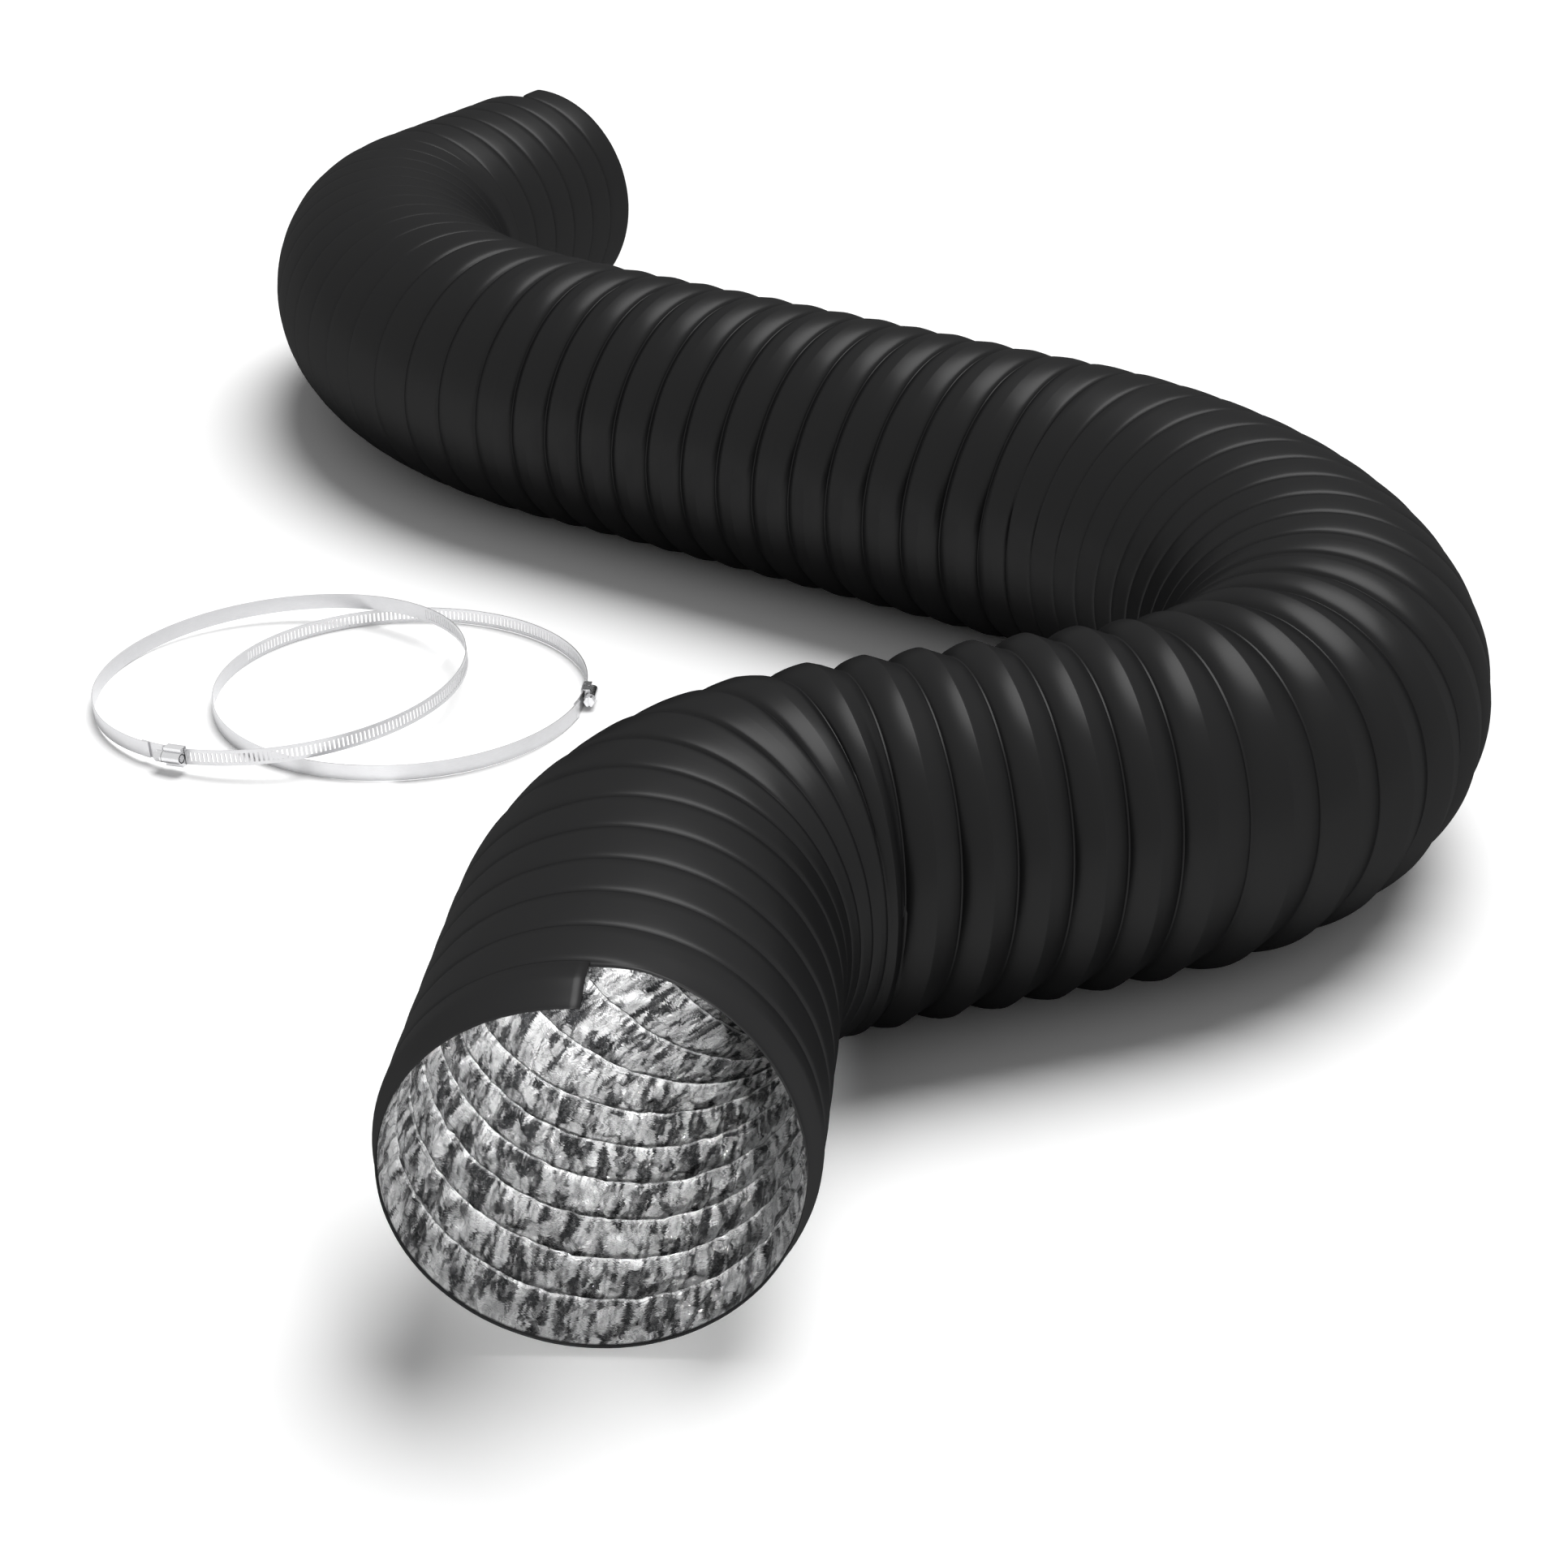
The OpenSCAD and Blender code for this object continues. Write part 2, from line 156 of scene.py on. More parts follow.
class Shader:
    """Node tree of one material."""

    def __init__(self, name: str) -> None:
        """Make an empty material with its output node.

        Args:
            name: the material's name.
        """
        self.material = bpy.data.materials.new(name)
        self.material.use_nodes = True
        self.tree = self.material.node_tree
        self.tree.nodes.clear()
        self.output = self.tree.nodes.new("ShaderNodeOutputMaterial")

    def node(self, kind: str, inputs: dict | None = None, out: int | str = 0, **props: object) -> Sock:
        """Add a node.

        Args:
            kind: Blender's type name.
            inputs: socket names or numbers to values or other outputs.
            out: the output to hand back.
            props: the node's own settings.

        Returns:
            The chosen output.
        """
        made = self.tree.nodes.new(kind)
        for key, value in props.items():
            setattr(made, key, value)
        for key, value in (inputs or {}).items():
            if isinstance(value, Sock):
                self.tree.links.new(value.socket, made.inputs[key])
            else:
                made.inputs[key].default_value = value
        return Sock(self, made.outputs[out])

    def place(self, attribute: str = "wound") -> Sock:
        """Coordinates kept on the mesh, which move with it.

        Args:
            attribute: the layer that holds them.

        Returns:
            The coordinates.
        """
        return self.node("ShaderNodeAttribute", out="Vector", attribute_name=attribute)

    def position(self) -> Sock:
        """Object coordinates in metres."""
        return self.node("ShaderNodeTexCoord", out="Object")

    def stretched(self, vector: Sock, scale: tuple[float, float, float]) -> Sock:
        """A vector scaled along its axes.

        Args:
            vector: the coordinates.
            scale: a factor for each axis.

        Returns:
            The scaled coordinates.
        """
        return self.node("ShaderNodeMapping", {"Vector": vector, "Scale": scale})

    def noise(self, vector: Sock, scale: float, detail: float = 3.0, rough: float = 0.5) -> Sock:
        """Noise between 0 and 1.

        Args:
            vector: coordinates.
            scale: size of the pattern.
            detail: number of finer layers.
            rough: weight of the finer layers.

        Returns:
            The noise value.
        """
        values = {"Vector": vector, "Scale": scale, "Detail": detail, "Roughness": rough}
        return self.node("ShaderNodeTexNoise", values, out=0)

    def part(self, vector: Sock, axis: str) -> Sock:
        """One component of a vector.

        Args:
            vector: the vector.
            axis: X, Y or Z.

        Returns:
            The component.
        """
        return self.node("ShaderNodeSeparateXYZ", {0: vector}, out=axis)

    def mix(self, amount: Sock | float, low: tuple, high: tuple | Sock) -> Sock:
        """Mix two colours.

        Args:
            amount: share of the second colour.
            low: the first colour.
            high: the second colour.

        Returns:
            The mixed colour.
        """
        made = self.tree.nodes.new("ShaderNodeMix")
        made.data_type = "RGBA"
        for slot, value in ((0, amount), (6, low), (7, high)):
            if isinstance(value, Sock):
                self.tree.links.new(value.socket, made.inputs[slot])
            else:
                made.inputs[slot].default_value = value if slot == 0 else (*value, 1.0)
        return Sock(self, made.outputs[2])

    def bump(self, height: Sock, depth: float, strength: float = 1.0, under: Sock | None = None) -> Sock:
        """Turn a height into a surface direction.

        Args:
            height: relief between 0 and 1.
            depth: its depth in metres.
            strength: how much of it shows.
            under: a coarser relief below it.

        Returns:
            The surface direction.
        """
        values: dict = {"Height": height, "Distance": depth, "Strength": strength}
        if under is not None:
            values["Normal"] = under
        return self.node("ShaderNodeBump", values)

    def finish(self, surface: Sock) -> bpy.types.Material:
        """Send a surface to the output.

        Args:
            surface: the closure to show.

        Returns:
            The finished material.
        """
        self.tree.links.new(surface.socket, self.output.inputs["Surface"])
        return self.material


# ---------------------------------------------------------------- finishes


@dataclass(frozen=True)
class FilmFinish:
    """Satin black film with a fine calendered grain, rubbed lighter along its laps."""

    colour: tuple[float, float, float] = (0.0078, 0.0078, 0.0081)
    worn: tuple[float, float, float] = (0.0135, 0.0135, 0.014)
    gloss: float = 0.35

    def make(self) -> bpy.types.Material:
        """Build the material."""
        sh = Shader("black_film")
        wound = sh.place()
        across = sh.part(wound, "Z")
        grain = sh.noise(wound, 2600.0, 2.0, 0.6)
        mottle = sh.noise(sh.stretched(wound, (60.0, 25.0, 0.0)), 1.0, 4.0, 0.6)
        edge = across.ramp(0.9, 1.0) + across.ramp(0.02, -0.04)
        wear = (edge * mottle.ramp(0.35, 0.8) * 0.8 + mottle.ramp(0.62, 0.9) * 0.25).clamped()
        draw = sh.noise(sh.stretched(wound, (900.0, 14.0, 0.0)), 1.0, 3.0, 0.55)
        relief = sh.bump(draw, 0.00025, 0.25)
        relief = sh.bump(grain, 0.00006, 0.35, relief)
        values = {
            "Base Color": sh.mix(wear, self.colour, self.worn),
            "Roughness": (mottle * 0.12 + self.gloss + wear * 0.08).clamped(),
            "Specular IOR Level": 0.0,
            "Coat Weight": 0.06,
            "Coat IOR": 3.0,
            "Coat Roughness": self.gloss,
            "Normal": relief,
        }
        return sh.finish(sh.node("ShaderNodeBsdfPrincipled", values))


@dataclass(frozen=True)
class FoilFinish:
    """Bright aluminium foil, gathered from seam to seam into sharp folds and small flat facets, with painted
    reflections, painted highlights and painted shade in its colour.
    """

    bright: tuple[float, float, float] = (0.96, 0.963, 0.966)
    # The low colour is painted shade and painted dark reflection in the folds, at facet borders and along
    # the seams.
    painted_shade: tuple[float, float, float] = (0.05, 0.051, 0.054)
    large_facets: float = 62.0
    small_facets: float = 150.0

    def facets(self, sh: Shader, vector: Sock, scale: float) -> tuple[Sock, Sock]:
        """Flat facets, each with a tilt of its own and a painted brightness that stands in for its
        reflection.

        Args:
            sh: the shader under construction.
            vector: coordinates.
            scale: number of facets to a unit.

        Returns:
            The relief and the tone.
        """
        cells = {"Vector": vector, "Scale": scale, "Randomness": 1.0}
        colour = sh.node("ShaderNodeTexVoronoi", cells, out="Color")
        centre = Sock(sh, colour.socket.node.outputs["Position"])
        offset = sh.node("ShaderNodeVectorMath", {0: vector, 1: centre}, operation="SUBTRACT")
        scaled = sh.node("ShaderNodeVectorMath", {0: offset, 3: scale}, operation="SCALE")
        tilt = sh.node("ShaderNodeVectorMath", {0: colour, 1: (0.5, 0.5, 0.5)}, operation="SUBTRACT")
        relief = sh.node("ShaderNodeVectorMath", {0: scaled, 1: tilt}, out="Value", operation="DOT_PRODUCT")
        return relief, sh.part(colour, "Z")

    def make(self) -> bpy.types.Material:
        """Build the material."""
        sh = Shader("crumpled_foil")
        wound = sh.place()
        warp = sh.node("ShaderNodeTexNoise", {"Vector": wound, "Scale": 60.0, "Detail": 1.5}, out="Color")
        bent = sh.node("ShaderNodeVectorMath", {0: warp, 3: 0.004}, operation="SCALE")
        moved = sh.node("ShaderNodeVectorMath", {0: wound, 1: bent}, operation="ADD")
        folds = sh.noise(sh.stretched(moved, (42.0, 250.0, 0.0)), 1.0, 2.0, 0.5)
        thin = sh.noise(sh.stretched(moved, (130.0, 620.0, 0.0)), 1.0, 2.0, 0.5)
        long_way = sh.stretched(moved, (1.0, 3.0, 0.0))
        coarse, plain = self.facets(sh, long_way, self.large_facets)
        middle, spark = self.facets(sh, long_way, self.small_facets)
        # Painted shade along the borders of the large facets.
        cells = {"Vector": long_way, "Scale": self.large_facets}
        edge = sh.node("ShaderNodeTexVoronoi", cells, feature="DISTANCE_TO_EDGE")
        painted_facet_border_shade = edge.ramp(0.0, 0.05)
        across = sh.part(wound, "Z") + (sh.noise(wound, 120.0, 1.0) - 0.5) * 0.03
        # Painted reflections: each facet gets a painted brightness of its own, shaded across it along its
        # tilt.
        painted_facet_reflection = plain * 0.42 + spark * 0.24 + folds.ramp(0.485, 0.515) * 0.2 + coarse * 0.35 + middle * 0.2
        # Painted highlight along thin crease lines.
        painted_crease_highlight = (thin - 0.5).absolute().ramp(0.0, 0.016, 0.4, 0.0)
        lit = painted_facet_reflection.ramp(0.24, 0.6) * (painted_facet_border_shade * 0.55 + 0.45) + painted_crease_highlight
        # Painted shade along the seam at the start of each strip and a painted highlight along its other
        # edge.
        lit = lit * across.ramp(0.012, 0.04, 0.25, 1.0) + across.ramp(0.955, 0.98) * 0.35
        relief = sh.bump(coarse, 0.007, 0.8)
        relief = sh.bump((folds - 0.5).absolute(), 0.005, 0.6, relief)
        relief = sh.bump(middle, 0.0024, 0.7, relief)
        relief = sh.bump((thin - 0.5).absolute(), 0.0022, 0.8, relief)
        values = {
            "Base Color": sh.mix(lit.clamped(), self.painted_shade, self.bright),
            "Metallic": 0.4,
            "Roughness": (spark * 0.1 + 0.14).clamped(),
            "Normal": relief,
        }
        return sh.finish(sh.node("ShaderNodeBsdfPrincipled", values))


@dataclass(frozen=True)
class WireFinish:
    """Drawn spring steel with die lines along it."""

    colour: tuple[float, float, float] = (0.42, 0.43, 0.45)

    def make(self) -> bpy.types.Material:
        """Build the material."""
        sh = Shader("spring_wire")
        lines = sh.noise(sh.stretched(sh.position(), (900.0, 900.0, 5200.0)), 1.0, 2.0)
        values = {
            "Base Color": sh.mix(lines, self.colour, (0.3, 0.3, 0.32)),
            "Metallic": 1.0,
            "Roughness": (lines * 0.2 + 0.26).clamped(),
            "Normal": sh.bump(lines, 0.00004, 0.4),
        }
        return sh.finish(sh.node("ShaderNodeBsdfPrincipled", values))


@dataclass(frozen=True)
class SteelFinish:
    """Rolled or plated stainless steel."""

    name: str
    colour: tuple[float, float, float]
    shade: tuple[float, float, float]
    gloss: float
    grain: tuple[float, float, float]

    def make(self) -> bpy.types.Material:
        """Build the material."""
        sh = Shader(self.name)
        here = sh.position()
        rolled = sh.noise(sh.stretched(here, self.grain), 1.0, 4.0, 0.65)
        smear = sh.noise(here, 55.0, 3.0, 0.6)
        scuff = sh.noise(sh.stretched(here, (240.0, 240.0, 2400.0)), 1.0, 2.0).ramp(0.6, 0.75)
        values = {
            "Base Color": sh.mix((rolled * 0.6 + smear * 0.4).clamped(), self.colour, self.shade),
            "Metallic": 1.0,
            "Roughness": (rolled * 0.14 + self.gloss + scuff * 0.1).clamped(),
            "Normal": sh.bump(rolled, 0.00003, 0.4),
        }
        return sh.finish(sh.node("ShaderNodeBsdfPrincipled", values))


@dataclass(frozen=True)
class FloorFinish:
    """Plain white studio paper that stays white in the picture and in reflections."""

    level: float = 0.93
    seen: float = 1.2

    def make(self) -> bpy.types.Material:
        """Build the material."""
        sh = Shader("studio_paper")
        ray = sh.node("ShaderNodeLightPath", out="Is Camera Ray")
        glossy = Sock(sh, ray.socket.node.outputs["Is Glossy Ray"])
        through = Sock(sh, ray.socket.node.outputs["Is Transmission Ray"])
        shown = (ray + glossy + through).clamped()
        colour = sh.mix(shown, (self.level,) * 3, (self.seen,) * 3)
        return sh.finish(sh.node("ShaderNodeBsdfDiffuse", {"Color": colour, "Roughness": 0.4}))


# ---------------------------------------------------------------- route


@dataclass(frozen=True)
class Leg:
    """One straight or one arc of the route."""

    length: float
    turn: float = 0.0


def arc(radius: float, degrees: float) -> Leg:
    """An arc of the route.

    Args:
        radius: radius of its centre line in millimetres.
        degrees: its turn, left positive.

    Returns:
        The leg.
    """
    return Leg(radius * abs(math.radians(degrees)), math.radians(degrees))


@dataclass
class Route:
    """Centre line of the duct on the floor, in millimetres."""

    legs: tuple[Leg, ...] = (Leg(160.0), arc(120.0, -67.0), Leg(140.0), arc(160.0, 67.0), arc(255.0, 61.0),
                             Leg(350.0), arc(330.0, -57.0), arc(125.0, -28.0), Leg(155.0))
    start: tuple[float, float] = (398.478, -509.313)
    heading: float = math.radians(119.0)
    axis_z: float = 82.5
    knots: list[tuple[float, float, float, float, Leg]] = field(default_factory=list)

    def __post_init__(self) -> None:
        """Work out where each leg starts."""
        along, x, y, heading = 0.0, self.start[0], self.start[1], self.heading
        for leg in self.legs:
            self.knots.append((along, x, y, heading, leg))
            x, y, heading = self._step(x, y, heading, leg, leg.length)
            along += leg.length
        self.length = along

    @staticmethod
    def _step(x: float, y: float, heading: float, leg: Leg, run: float) -> tuple[float, float, float]:
        """Pose after a run along a leg.

        Args:
            x: where the leg starts.
            y: where the leg starts.
            heading: its direction there, in radians.
            leg: the leg.
            run: distance covered along it.

        Returns:
            The place and the heading at the end of the run.
        """
        if leg.turn == 0.0:
            return x + run * math.cos(heading), y + run * math.sin(heading), heading
        radius = leg.length / leg.turn
        after = heading + leg.turn * run / leg.length
        return (x + radius * (math.sin(after) - math.sin(heading)),
                y - radius * (math.cos(after) - math.cos(heading)), after)

    def leg_at(self, along: float) -> tuple[float, float, float, float, Leg]:
        """Leg under a station.

        Args:
            along: the station.

        Returns:
            The leg's first station, the place and heading there, and the leg.
        """
        for knot in reversed(self.knots):
            if along >= knot[0]:
                return knot
        return self.knots[0]

    def pose(self, along: float) -> tuple[float, float, float]:
        """Place and heading of a station.

        Args:
            along: the station.

        Returns:
            The place in millimetres and the heading in radians.
        """
        begin, x, y, heading, leg = self.leg_at(along)
        return self._step(x, y, heading, leg, along - begin)

    def curvature(self, along: float, window: float = 45.0) -> float:
        """Curvature near a station, smoothed over a window.

        Args:
            along: the station.
            window: length over which a change is spread.

        Returns:
            The curvature in 1/mm, left positive.
        """
        total = 0.0
        for offset in (-0.5, -0.25, 0.0, 0.25, 0.5):
            leg = self.leg_at(along + offset * window)[4]
            total += leg.turn / leg.length
        return total / 5.0

    def place(self, along: float, angle: float, radius: float) -> Vector:
        """Point on the tube, in metres.

        Args:
            along: station in millimetres.
            angle: angle round the tube from its left side, upwards.
            radius: distance from the centre line in millimetres.

        Returns:
            The point.
        """
        x, y, heading = self.pose(along)
        left, up = radius * math.cos(angle), radius * math.sin(angle)
        return Vector(((x - left * math.sin(heading)) * MM, (y + left * math.cos(heading)) * MM,
                       (self.axis_z + up) * MM))

    def centre(self, leg: int) -> Vector:
        """Centre of curvature of an arc.

        Args:
            leg: the arc's number in the route.

        Returns:
            The centre in metres.
        """
        _, x, y, heading, piece = self.knots[leg]
        radius = piece.length / piece.turn
        return Vector(((x - radius * math.sin(heading)) * MM, (y + radius * math.cos(heading)) * MM,
                       self.axis_z * MM))


# ---------------------------------------------------------------- duct


class Rides(Enum):
    """How a stretch follows the bodies."""

    WHOLE = "whole"
    BLEND = "blend"


@dataclass(frozen=True)
class Stretch:
    """A stretch of the duct between two turns of its helix."""

    name: str
    first: float
    last: float
    rides: Rides
    body: str
    other: str = ""
    start: tuple[float, float, float] = (0.0, 0.0, 0.0)
    end: tuple[float, float, float] = (0.0, 0.0, 0.0)


@dataclass
class Helix:
    """Winding shared by the jacket, the wire and the liner."""

    route: Route
    ribs: int = 70
    crest: float = 83.0

    def __post_init__(self) -> None:
        """Work out the pitch."""
        self.pitch = self.route.length / self.ribs

    def wind(self, bm: bmesh.types.BMesh, stretch: Stretch, steps: int, closed: bool) -> None:
        """Spin the drawn section from the first turn of a stretch to its last.

        The section stands at the top of the tube, in the plane of X and Z, in millimetres.

        Args:
            bm: mesh with the section only.
            stretch: the stretch to wind.
            steps: number of steps to a turn.
            closed: whether the section is a closed outline.
        """
        turns = stretch.last - stretch.first
        whole = turns == int(turns)
        spun = 1.0 if whole else turns
        count = round(spun * steps)
        turn_in = Matrix.Rotation(-2 * math.pi * stretch.first, 4, "X")
        bmesh.ops.transform(bm, matrix=turn_in, verts=bm.verts)
        bmesh.ops.translate(bm, vec=(stretch.first * self.pitch, 0, 0), verts=bm.verts)
        bmesh.ops.spin(bm, geom=bm.verts[:] + bm.edges[:], cent=(0, 0, 0), axis=(1, 0, 0),
                       dvec=(self.pitch * spun / count, 0, 0), angle=-2 * math.pi * spun, steps=count,
                       use_merge=False, use_duplicate=False)
        if whole:
            one_turn = bm.verts[:] + bm.edges[:] + bm.faces[:]
            for k in range(1, int(turns)):
                made = bmesh.ops.duplicate(bm, geom=one_turn)["geom"]
                verts = [item for item in made if isinstance(item, bmesh.types.BMVert)]
                bmesh.ops.translate(bm, vec=(k * self.pitch, 0, 0), verts=verts)
            bmesh.ops.remove_doubles(bm, verts=bm.verts, dist=0.01)
        if closed:
            bmesh.ops.holes_fill(bm, edges=[edge for edge in bm.edges if edge.is_boundary], sides=0)
        bmesh.ops.recalc_face_normals(bm, faces=bm.faces)

    def settle(self, bm: bmesh.types.BMesh, radius_of: Callable[[float, float, float, float, float], float],
               reach: float | None = None) -> None:
        """Lay the straight winding along the route.

        Args:
            bm: the wound mesh, with its section layers.
            radius_of: gives a radius from station, angle, place across the strip, depth and inset.
            reach: lowest height that a point may have, in millimetres.
        """
        across = bm.verts.layers.float["across"]
        depth = bm.verts.layers.float["depth"]
        inset = bm.verts.layers.float["inset"]
        wound = bm.verts.layers.float_vector["wound"]
        for vert in bm.verts:
            along = vert.co.x
            angle = math.atan2(vert.co.z, vert.co.y)
            radius = radius_of(along, angle, vert[across], vert[depth], vert[inset])
            wrapped = math.pi * (0.5 - 2.0 * (along / self.pitch - vert[across]))
            vert[wound] = Vector((along * MM, wrapped * self.crest * MM, vert[across]))
            point = self.route.place(min(max(along, 0.0), self.route.length), angle, radius)
            if reach is not None and point.z < reach * MM:
                point.z = reach * MM
            vert.co = point

    @staticmethod
    def section(bm: bmesh.types.BMesh, points: Iterable[tuple[float, float, float, float]], pitch: float,
                crest: float, closed: bool) -> None:
        """Draw the section of a strip at the top of the tube.

        Args:
            bm: empty mesh.
            points: rows of place across the strip (0 to 1), depth, inset and lap, in millimetres.
            pitch: width of the strip.
            crest: radius that depths are counted from.
            closed: whether the section is a closed outline.
        """
        across = bm.verts.layers.float.new("across")
        depth = bm.verts.layers.float.new("depth")
        inset = bm.verts.layers.float.new("inset")
        bm.verts.layers.float_vector.new("wound")
        row = []
        for place, deep, inward, lap in points:
            vert = bm.verts.new((place * pitch, 0.0, crest - deep - inward - lap))
            vert[across] = place
            vert[depth] = deep
            vert[inset] = inward
            row.append(vert)
        for one, two in zip(row, row[1:]):
            bm.edges.new((one, two))
        if closed:
            bm.edges.new((row[-1], row[0]))


def smooth(value: float, low: float, high: float) -> float:
    """Smooth step between two values.

    Args:
        value: where to read it.
        low: value that gives 0.
        high: value that gives 1.

    Returns:
        The share, from 0 to 1.
    """
    share = min(max((value - low) / (high - low), 0.0), 1.0)
    return share * share * (3.0 - 2.0 * share)


@dataclass(frozen=True)
class Curve:
    """Values at a few places, joined by straight or smooth pieces."""

    knots: tuple[tuple[float, float], ...]
    eased: bool = True

    def at(self, place: float) -> float:
        """Value at a place.

        Args:
            place: where to read the curve.

        Returns:
            The value there, held at both ends.
        """
        if place <= self.knots[0][0]:
            return self.knots[0][1]
        for (begin, low), (end, high) in zip(self.knots, self.knots[1:]):
            if place < end:
                share = smooth(place, begin, end) if self.eased else (place - begin) / (end - begin)
                return low + (high - low) * share
        return self.knots[-1][1]


@dataclass
class Duct:
    """The duct: jacket, spring wire and liner on one helix."""

    helix: Helix
    film_wall: float = 0.5
    rib_steps: int = 120
    rib_depth: float = 5.0
    lap: float = 0.95
    lip: float = 4.2
    wire_radius: float = 0.6
    wire_path: float = 80.4
    foil_seam: float = 76.5
    foil_puff: float = 1.7
    # Fixes the tilt of the foil's facets, which otherwise changes from run to run
    seed: int = 7
    fold_radius: float = 78.0
    # How deep the valleys are along the route
    fullness: Curve = Curve(((0.0, 0.13), (150.0, 0.2), (235.0, 0.34), (310.0, 1.1), (460.0, 1.18),
                             (560.0, 0.8), (640.0, 0.24), (840.0, 0.2), (930.0, 0.66), (1200.0, 0.78),
                             (1290.0, 0.45), (1370.0, 0.1), (1600.0, 0.07), (1670.0, 0.2), (1793.3, 0.2)))
    # How far the ribs turn from tents over the wire into flat bands with one steep side
    flatness: Curve = Curve(((230.0, 1.0), (310.0, 0.0), (480.0, 0.0), (640.0, 0.7), (850.0, 1.0),
                             (950.0, 0.6), (1200.0, 0.6), (1350.0, 1.0)))
    # How much of the strip's edge stands up
    lapping: Curve = Curve(((240.0, 1.0), (310.0, 0.6), (450.0, 0.6), (600.0, 0.9), (930.0, 1.2),
                            (1230.0, 1.2), (1340.0, 0.5), (1500.0, 0.16), (1600.0, 0.25), (1660.0, 1.0)))
    # Depth across the strip of both forms, and of the edge that goes under the strip before it
    tent: Curve = Curve(((0.0, 1.0), (0.06, 0.76), (0.1, 0.62), (0.16, 0.45), (0.23, 0.3), (0.31, 0.17),
                         (0.39, 0.075), (0.455, 0.022), (0.488, 0.005), (0.5, 0.0), (0.512, 0.018),
                         (0.56, 0.115), (0.66, 0.315), (0.76, 0.51), (0.9, 0.8), (0.96, 0.93),
                         (1.0, 1.0)), False)
    band: Curve = Curve(((0.0, 1.0), (0.03, 0.86), (0.06, 0.7), (0.1, 0.52), (0.16, 0.34), (0.23, 0.21),
                         (0.31, 0.12), (0.39, 0.06), (0.5, 0.01), (0.66, 0.0), (0.76, 0.02), (0.8, 0.05),
                         (0.84, 0.14), (0.9, 0.4), (0.96, 0.76), (1.0, 1.0)), False)
    tucked: Curve = Curve(((0.012, 1.0), (0.03, 0.65), (0.06, 0.2), (0.1, 0.0), (0.99, 0.0),
                           (1.0, 0.12)), False)

    def stretches(self) -> tuple[Stretch, ...]:
        """The seven stretches with the bodies that they follow."""
        route = self.helix.route

        def spot(along: float, shift: float = 0.0) -> tuple[float, float, float]:
            """A point on the centre line, in metres."""
            x, y, heading = route.pose(along)
            return ((x + shift * math.cos(heading)) * MM, (y + shift * math.sin(heading)) * MM, 0.0825)

        def chord(leg: int, from_share: float, to_share: float) -> tuple:
            """Two points on the chord of an arc, in metres."""
            one = Vector(spot(route.knots[leg][0]))
            two = Vector(spot(route.knots[leg + 1][0]))
            return tuple(one.lerp(two, from_share)), tuple(one.lerp(two, to_share))

        a_near, a_far = chord(1, 0.07, 0.94)
        b_near, b_far = chord(3, 0.18, 1.0)
        c_near, c_far = chord(6, 0.18, 0.95)
        return (
            Stretch("front", 0.0, 3.5, Rides.WHOLE, "front_end"),
            Stretch("bend_a", 3.5, 13.5, Rides.BLEND, "short_run", "front_end", a_far, a_near),
            Stretch("short_run", 13.5, 15.5, Rides.WHOLE, "short_run"),
            Stretch("bend_b", 15.5, 35.5, Rides.BLEND, "front_section", "short_run", b_far, b_near),
            Stretch("long_run", 35.5, 48.5, Rides.BLEND, "long_run", "front_section",
                    (-0.13, 0.18045, 0.0825), (0.165, 0.18045, 0.0825)),
            Stretch("bend_c", 48.5, 64.5, Rides.BLEND, "long_run", "rear_end", c_near, c_far),
            Stretch("rear", 64.5, 69.0, Rides.WHOLE, "rear_end"),
        )

    def attach(self, piece: bpy.types.Object, stretch: Stretch, node: str) -> None:
        """Let a piece follow its bodies and stand for its node.

        Args:
            piece: the new piece.
            stretch: the stretch it belongs to.
            node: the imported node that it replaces.
        """
        if stretch.rides is Rides.WHOLE:
            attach(piece, stretch.body)
        else:
            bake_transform(piece, stretch.body, stretch.other, start=stretch.start, end=stretch.end)
        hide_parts(node)
        LOG.info("%s: %d faces, %s", piece.name, len(piece.data.polygons), stretch.body)

    def drawn_in(self, along: float, across: float) -> float:
        """How far the first turn curls inwards towards its rim, in millimetres.

        Args:
            along: the station.
            across: place across the strip.

        Returns:
            The distance.
        """
        turn = along / self.helix.pitch - across
        return self.lip * (1.0 - smooth(across, 0.0, 0.6)) * (1.0 - smooth(turn, 0.78, 0.98))

    def squeeze(self, along: float, angle: float) -> float:
        """Local pitch on one side of the tube.

        Args:
            along: the station.
            angle: angle round the tube.

        Returns:
            Its share of the pitch on the centre line.
        """
        return 1.0 - self.helix.route.curvature(along) * 80.0 * math.cos(angle)

    def jacket_section(self) -> list[tuple[float, float, float, float]]:
        """Section of the lapped strip: its skin, and back under it the inner face."""
        places = (-0.05, 0.012, 0.03, 0.06, 0.1, 0.16, 0.23, 0.31, 0.39, 0.455, 0.488, 0.5, 0.512, 0.56,
                  0.66, 0.76, 0.8, 0.84, 0.9, 0.96, 0.99, 1.0)
        rows = [(place, self.tent.at(place) * self.rib_depth, 0.0, self.lap * self.tucked.at(place))
                for place in places]
        back = [rows[k] for k in (21, 18, 15, 13, 11, 9, 7, 5, 3, 0)]
        return rows + [(place, deep, self.film_wall, lap) for place, deep, _, lap in back]

